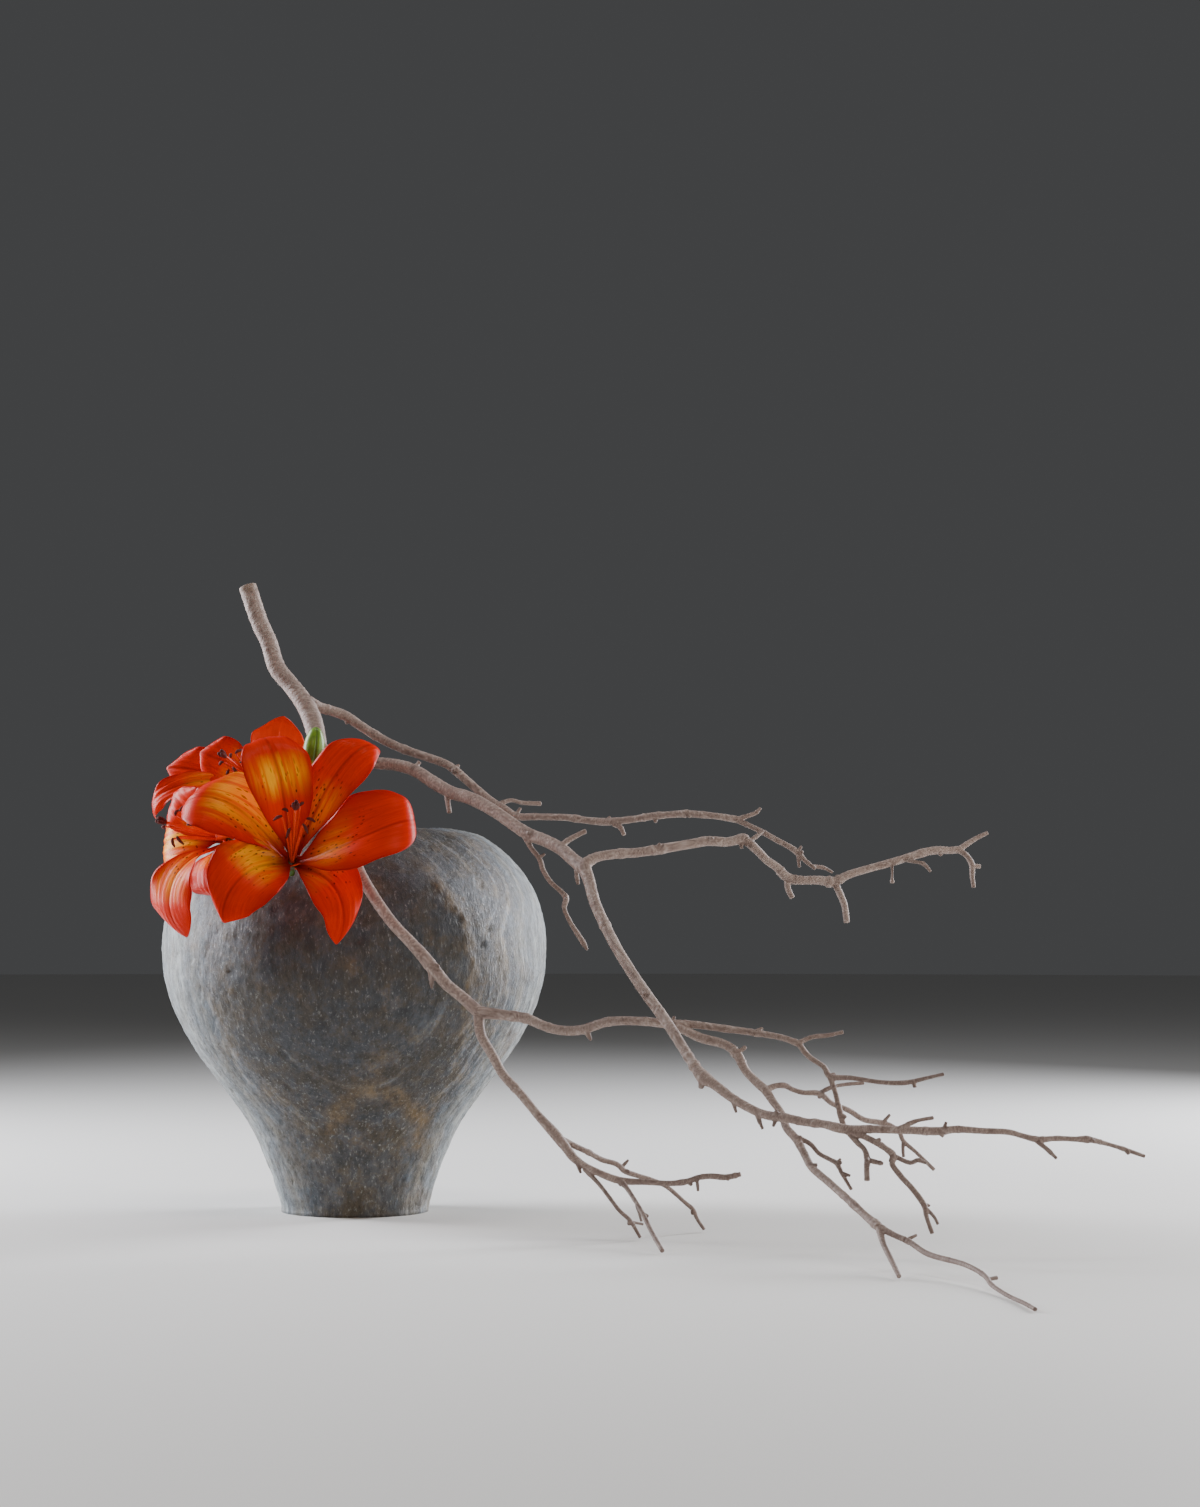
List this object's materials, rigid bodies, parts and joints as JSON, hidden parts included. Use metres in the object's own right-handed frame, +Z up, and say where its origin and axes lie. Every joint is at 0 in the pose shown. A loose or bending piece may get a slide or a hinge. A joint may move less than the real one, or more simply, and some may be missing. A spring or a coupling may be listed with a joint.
{
  "type": "ikebana arrangement",
  "caption": "Round grey stone-like vase with a bare forked branch that sweeps out over its rim and a stem of open orange lilies with a green bud.",
  "frame": {"origin": "centre of the vase's foot, on the surface it stands on", "axes": "+Z up out of the vase's mouth, -Y towards the side that is seen, +X to its right, where the branch trails"},
  "size_m": [0.6386, 0.6826, 0.4465],
  "materials": {
    "stone": "hand-worked grey stoneware or slate, finely pitted, satin to matte, with brown streaks",
    "water": "clear water with a still surface",
    "bark": "pale taupe bark, dry and faintly wrinkled, with a tan sawn end",
    "stem_green": "smooth green plant stem, waxy",
    "bud_green": "waxy green bud, yellow-green at its base",
    "tepal_orange": "orange-red lily tepal with a soft satin sheen, a yellow glow in the throat and dark spots",
    "stamen_red": "red filaments and style with dark maroon anthers and stigma"
  },
  "bodies": {
    "root": {"vase": "stone", "water": "water", "branch": "bark", "lily_stem": "stem_green", "lily_bud": "bud_green", "front_tepals": "tepal_orange", "left_tepals": "tepal_orange", "upper_tepals": "tepal_orange", "back_tepals": "tepal_orange", "front_stamens": "stamen_red", "left_stamens": "stamen_red", "upper_stamens": "stamen_red", "back_stamens": "stamen_red"}
  },
  "joints": []
}
